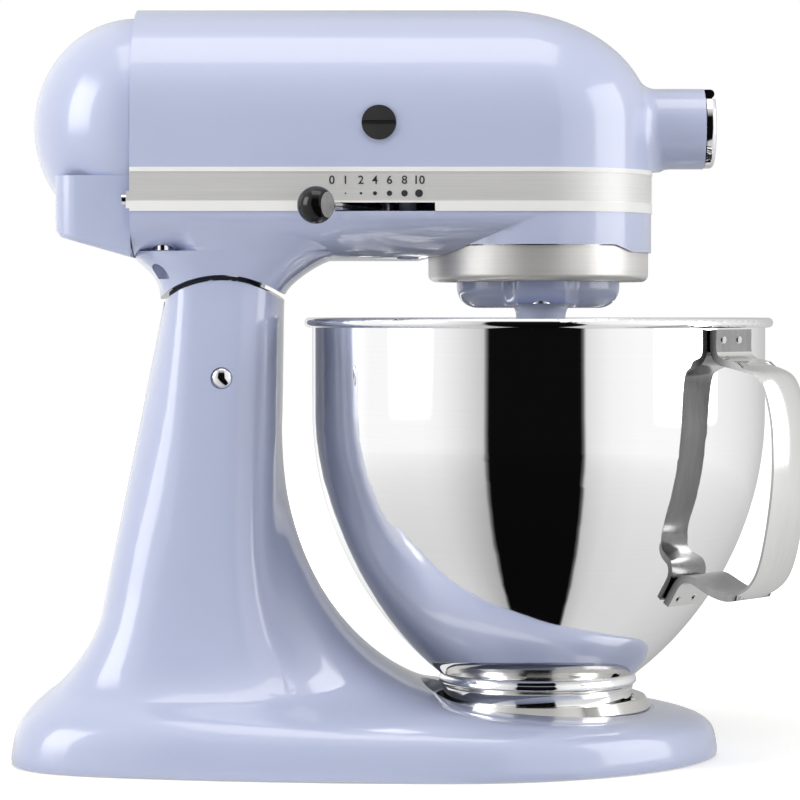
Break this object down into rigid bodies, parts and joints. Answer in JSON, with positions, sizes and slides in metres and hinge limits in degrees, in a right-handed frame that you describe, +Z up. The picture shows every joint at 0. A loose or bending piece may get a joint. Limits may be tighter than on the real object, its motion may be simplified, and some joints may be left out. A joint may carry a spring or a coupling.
{
  "type": "tilt-head stand mixer",
  "caption": "Tilt-head stand mixer with cast body, trim band, speed lever, attachment hub, planetary drive and a removable steel bowl with strap handle.",
  "frame": {"origin": "centre of the overall box, on the surface the feet stand on", "axes": "+X from the rear cover towards the attachment hub, +Y away from the speed lever, +Z up"},
  "size_m": [0.371, 0.224, 0.356],
  "materials": {
    "paint": "gloss lavender paint on die casting",
    "bowl_steel": "mirror polished stainless steel",
    "band_aluminium": "fine brushed, with bright edges",
    "satin_silver": "satin",
    "chrome": "polished plating",
    "black_rubber": "matt moulded",
    "black_plastic": "moulded, low gloss",
    "carbon": "pressed carbon",
    "steel": "turned or ground",
    "core_steel": "stacked sheets, varnished",
    "copper": "bare or varnished copper",
    "bronze": "sintered",
    "cast_aluminium": "as cast"
  },
  "bodies": {
    "base": {"base_pedestal": "paint", "base_feet": "black_rubber", "bowl_clamp_plate": "satin_silver", "clamp_plate_screws": "chrome", "hinge_pin": "chrome"},
    "lock": {"lock_shaft": "steel", "lock_lever": "black_plastic"},
    "bowl": {"mixing_bowl": "bowl_steel", "bowl_foot": "bowl_steel", "bowl_handle": "bowl_steel", "handle_rivets": "bowl_steel"},
    "head": {"upper_housing": "paint", "lower_housing": "paint", "housing_screws": "chrome", "speed_pivot_screw": "chrome", "rear_cover": "paint", "rear_cover_screw": "chrome", "cord_gland": "black_rubber", "trim_band": "band_aluminium", "trim_band_screws": "chrome", "gear_bracket": "cast_aluminium", "centre_bushes": "bronze", "wheel_bushes": "bronze", "ring_gear": "steel", "motor_stator": "core_steel", "field_coils": "copper", "motor_bearings": "steel", "brush_holders": "black_plastic", "carbon_brushes": "carbon", "brush_caps": "black_plastic", "hub_bush": "bronze", "hub_liner": "steel", "hub_hinge_lugs": "chrome", "hub_hinge_pin": "chrome"},
    "armature": {"armature_shaft": "steel", "armature_core": "core_steel", "commutator": "copper", "cooling_fan": "black_plastic", "drive_worm": "steel"},
    "wheel": {"worm_wheel": "bronze", "wheel_shaft": "steel", "drive_pinion": "steel"},
    "planetary": {"centre_shaft": "steel", "centre_gear": "steel", "centre_bevel": "steel", "planetary_body": "paint", "drip_ring": "satin_silver"},
    "beater": {"beater_shaft": "steel", "beater_pinion": "steel", "beater_cross_pin": "steel"},
    "hub_drive": {"hub_drive_shaft": "steel", "hub_bevel": "steel"},
    "hub_lid": {"hub_cap": "chrome"},
    "knob": {"attachment_knob": "black_plastic", "attachment_screw": "steel"},
    "speed_lever": {"speed_lever_arm": "steel", "speed_knob": "black_plastic"}
  },
  "joints": [
    {"name": "head_tilt", "type": "hinge", "parent": "base", "child": "head", "pos_m": [-0.0848, 0, 0.1813], "axis": [0, -1, 0], "range_deg": [0, 45]},
    {"name": "bowl_twist", "type": "hinge", "parent": "base", "child": "bowl", "pos_m": [0.0645, 0, 0.0241], "axis": [0, 0, 1], "range_deg": [0, 45]},
    {"name": "lock_turn", "type": "hinge", "parent": "base", "child": "lock", "pos_m": [-0.078, 0.04, 0.146], "axis": [0, -1, 0], "range_deg": [0, 40]},
    {"name": "speed_swing", "type": "hinge", "parent": "head", "child": "speed_lever", "pos_m": [-0.0086, -0.014, 0.26065], "axis": [0, 0, 1], "range_deg": [0, 52.8]},
    {"name": "hub_cap_swing", "type": "hinge", "parent": "head", "child": "hub_lid", "pos_m": [0.14605, 0, 0.3159], "axis": [0, -1, 0], "range_deg": [0, 100]},
    {"name": "knob_turn", "type": "hinge", "parent": "head", "child": "knob", "pos_m": [0.13, 0.02, 0.2995], "axis": [0, 1, 0], "continuous": true},
    {"name": "planetary_spin", "type": "hinge", "parent": "head", "child": "planetary", "pos_m": [0.0645, 0, 0.235], "axis": [0, 0, 1], "continuous": true},
    {"name": "beater_spin", "type": "hinge", "parent": "planetary", "child": "beater", "pos_m": [0.0645, -0.03, 0.2], "axis": [0, 0, 1], "continuous": true},
    {"name": "wheel_spin", "type": "hinge", "parent": "head", "child": "wheel", "pos_m": [0.03003, 0.024, 0.27], "axis": [0, 0, 1], "continuous": true},
    {"name": "armature_spin", "type": "hinge", "parent": "head", "child": "armature", "pos_m": [-0.03, 0, 0.2995], "axis": [1, 0, 0], "continuous": true},
    {"name": "hub_spin", "type": "hinge", "parent": "head", "child": "hub_drive", "pos_m": [0.1, 0, 0.2995], "axis": [1, 0, 0], "continuous": true}
  ],
  "couplings": [
    {"joint": "beater_spin", "follows": "planetary_spin", "ratio": -4},
    {"joint": "wheel_spin", "follows": "planetary_spin", "ratio": -2.5},
    {"joint": "armature_spin", "follows": "planetary_spin", "ratio": 25},
    {"joint": "hub_spin", "follows": "planetary_spin", "ratio": 1}
  ]
}
